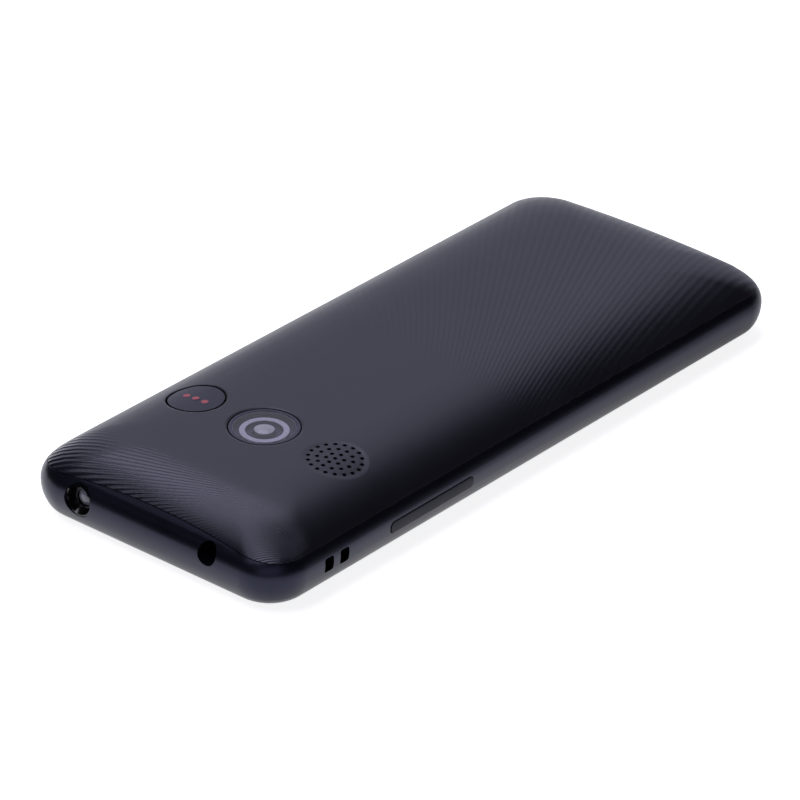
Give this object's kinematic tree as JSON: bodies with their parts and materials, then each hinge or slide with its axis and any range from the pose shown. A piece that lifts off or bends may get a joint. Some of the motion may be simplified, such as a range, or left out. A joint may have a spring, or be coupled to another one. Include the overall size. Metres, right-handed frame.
{
  "type": "keypad mobile telephone",
  "caption": "Bar-shaped keypad mobile telephone with a crowned ribbed rear cover, round camera window, alarm key, sound grille, torch and side volume key.",
  "frame": {"origin": "on the front plane, under the middle of the body's outline, with the telephone lying on its front face", "axes": "+Z out of the rear cover, +Y towards the bottom end (away from camera, torch and headphone socket), +X towards the side with the volume key and the lanyard slots"},
  "size_m": [0.0541, 0.132, 0.0132],
  "materials": {
    "housing": "satin moulded plastic",
    "cover": "fine curved ribs, satin",
    "window_glass": "clear hard-coated plastic over a dark border",
    "window_glass_rear": "smoked clear plastic",
    "display": "display surface, switched off",
    "pressed_steel": "tin-plated pressing",
    "socket_steel": "plated steel",
    "socket_plastic": "moulded",
    "speaker_metal": "stamped",
    "gauze": "fine woven cloth",
    "silicone": "matt silicone",
    "film": "polyimide film",
    "dome_steel": "sprung steel",
    "board": "glass-fibre laminate with solder mask",
    "recess": "polished black",
    "clear_lens": "clear polished",
    "led": "phosphor under resin",
    "component_black": "moulded",
    "chassis": "moulded, fine spark-eroded texture",
    "screw_steel": "zinc-plated",
    "battery_wrap": "printed film",
    "foam": "closed-cell foam",
    "bezel": "satin",
    "ring_print": "printed ring",
    "alarm_key": "satin, with a red mark",
    "side_key": "satin",
    "key_caps": "satin caps with printed digits"
  },
  "bodies": {
    "body": {"front_housing": "housing", "display_window": "window_glass", "display_panel": "display", "display_tray": "pressed_steel", "earpiece_receiver": "speaker_metal", "earpiece_gauze": "gauze", "keypad_mat": "silicone", "dome_sheet": "film", "key_domes": "dome_steel", "main_board": "board", "shield_cans": "pressed_steel", "usb_socket": "socket_steel", "headphone_jack": "socket_plastic", "torch_cup": "recess", "torch_lens": "clear_lens", "torch_led": "led", "microphone": "component_black", "vibration_motor": "pressed_steel", "battery_connector": "component_black", "sim_socket": "pressed_steel", "memory_card_socket": "pressed_steel", "antenna_carrier": "component_black", "inner_chassis": "chassis", "chassis_screws": "screw_steel", "battery": "battery_wrap", "loudspeaker": "speaker_metal", "speaker_gasket": "foam", "camera_module": "component_black", "camera_lens": "clear_lens", "camera_bezel": "bezel", "camera_ring": "ring_print", "camera_window": "window_glass_rear", "sos_switch": "component_black", "side_key_flex": "film", "side_key_switches": "component_black"},
    "cover": {"rear_cover": "cover", "speaker_gauze": "gauze"},
    "alarm_key": {"sos_key": "alarm_key"},
    "volume_key": {"volume_rocker": "side_key"},
    "key_one_cap": {"key_one": "key_caps"},
    "key_two_cap": {"key_two": "key_caps"},
    "key_three_cap": {"key_three": "key_caps"},
    "key_four_cap": {"key_four": "key_caps"},
    "key_five_cap": {"key_five": "key_caps"},
    "key_six_cap": {"key_six": "key_caps"},
    "key_seven_cap": {"key_seven": "key_caps"},
    "key_eight_cap": {"key_eight": "key_caps"},
    "key_nine_cap": {"key_nine": "key_caps"},
    "key_star_cap": {"key_star": "key_caps"},
    "key_zero_cap": {"key_zero": "key_caps"},
    "key_hash_cap": {"key_hash": "key_caps"},
    "soft_key_left_cap": {"soft_key_left": "key_caps"},
    "soft_key_right_cap": {"soft_key_right": "key_caps"},
    "call_key_cap": {"call_key": "key_caps"},
    "end_key_cap": {"end_key": "key_caps"},
    "nav_ring_cap": {"nav_ring": "key_caps"},
    "ok_key_cap": {"ok_key": "key_caps"}
  },
  "joints": [
    {"name": "cover_lift", "type": "slide", "parent": "body", "child": "cover", "axis": [0, 0, 1], "range_m": [0, 0.02]},
    {"name": "alarm_key_press", "type": "slide", "parent": "body", "child": "alarm_key", "axis": [0, 0, -1], "range_m": [0, 0.0004], "stiffness_N_per_m": 2000, "springref_m": -0.0002},
    {"name": "volume_key_rock", "type": "hinge", "parent": "body", "child": "volume_key", "pos_m": [0.026, -0.0279, 0.005], "axis": [0, 0, 1], "range_deg": [-1.1, 1.1], "stiffness_Nm_per_rad": 0.5},
    {"name": "key_one_press", "type": "slide", "parent": "body", "child": "key_one_cap", "axis": [0, 0, 1], "range_m": [0, 0.0003], "stiffness_N_per_m": 2000, "springref_m": -0.0002},
    {"name": "key_two_press", "type": "slide", "parent": "body", "child": "key_two_cap", "axis": [0, 0, 1], "range_m": [0, 0.0003], "stiffness_N_per_m": 2000, "springref_m": -0.0002},
    {"name": "key_three_press", "type": "slide", "parent": "body", "child": "key_three_cap", "axis": [0, 0, 1], "range_m": [0, 0.0003], "stiffness_N_per_m": 2000, "springref_m": -0.0002},
    {"name": "key_four_press", "type": "slide", "parent": "body", "child": "key_four_cap", "axis": [0, 0, 1], "range_m": [0, 0.0003], "stiffness_N_per_m": 2000, "springref_m": -0.0002},
    {"name": "key_five_press", "type": "slide", "parent": "body", "child": "key_five_cap", "axis": [0, 0, 1], "range_m": [0, 0.0003], "stiffness_N_per_m": 2000, "springref_m": -0.0002},
    {"name": "key_six_press", "type": "slide", "parent": "body", "child": "key_six_cap", "axis": [0, 0, 1], "range_m": [0, 0.0003], "stiffness_N_per_m": 2000, "springref_m": -0.0002},
    {"name": "key_seven_press", "type": "slide", "parent": "body", "child": "key_seven_cap", "axis": [0, 0, 1], "range_m": [0, 0.0003], "stiffness_N_per_m": 2000, "springref_m": -0.0002},
    {"name": "key_eight_press", "type": "slide", "parent": "body", "child": "key_eight_cap", "axis": [0, 0, 1], "range_m": [0, 0.0003], "stiffness_N_per_m": 2000, "springref_m": -0.0002},
    {"name": "key_nine_press", "type": "slide", "parent": "body", "child": "key_nine_cap", "axis": [0, 0, 1], "range_m": [0, 0.0003], "stiffness_N_per_m": 2000, "springref_m": -0.0002},
    {"name": "key_star_press", "type": "slide", "parent": "body", "child": "key_star_cap", "axis": [0, 0, 1], "range_m": [0, 0.0003], "stiffness_N_per_m": 2000, "springref_m": -0.0002},
    {"name": "key_zero_press", "type": "slide", "parent": "body", "child": "key_zero_cap", "axis": [0, 0, 1], "range_m": [0, 0.0003], "stiffness_N_per_m": 2000, "springref_m": -0.0002},
    {"name": "key_hash_press", "type": "slide", "parent": "body", "child": "key_hash_cap", "axis": [0, 0, 1], "range_m": [0, 0.0003], "stiffness_N_per_m": 2000, "springref_m": -0.0002},
    {"name": "soft_key_left_press", "type": "slide", "parent": "body", "child": "soft_key_left_cap", "axis": [0, 0, 1], "range_m": [0, 0.0003], "stiffness_N_per_m": 2000, "springref_m": -0.0002},
    {"name": "soft_key_right_press", "type": "slide", "parent": "body", "child": "soft_key_right_cap", "axis": [0, 0, 1], "range_m": [0, 0.0003], "stiffness_N_per_m": 2000, "springref_m": -0.0002},
    {"name": "call_key_press", "type": "slide", "parent": "body", "child": "call_key_cap", "axis": [0, 0, 1], "range_m": [0, 0.0003], "stiffness_N_per_m": 2000, "springref_m": -0.0002},
    {"name": "end_key_press", "type": "slide", "parent": "body", "child": "end_key_cap", "axis": [0, 0, 1], "range_m": [0, 0.0003], "stiffness_N_per_m": 2000, "springref_m": -0.0002},
    {"name": "nav_ring_press", "type": "slide", "parent": "body", "child": "nav_ring_cap", "axis": [0, 0, 1], "range_m": [0, 0.0003], "stiffness_N_per_m": 2000, "springref_m": -0.0002},
    {"name": "ok_key_press", "type": "slide", "parent": "body", "child": "ok_key_cap", "axis": [0, 0, 1], "range_m": [0, 0.0003], "stiffness_N_per_m": 2000, "springref_m": -0.0002}
  ]
}
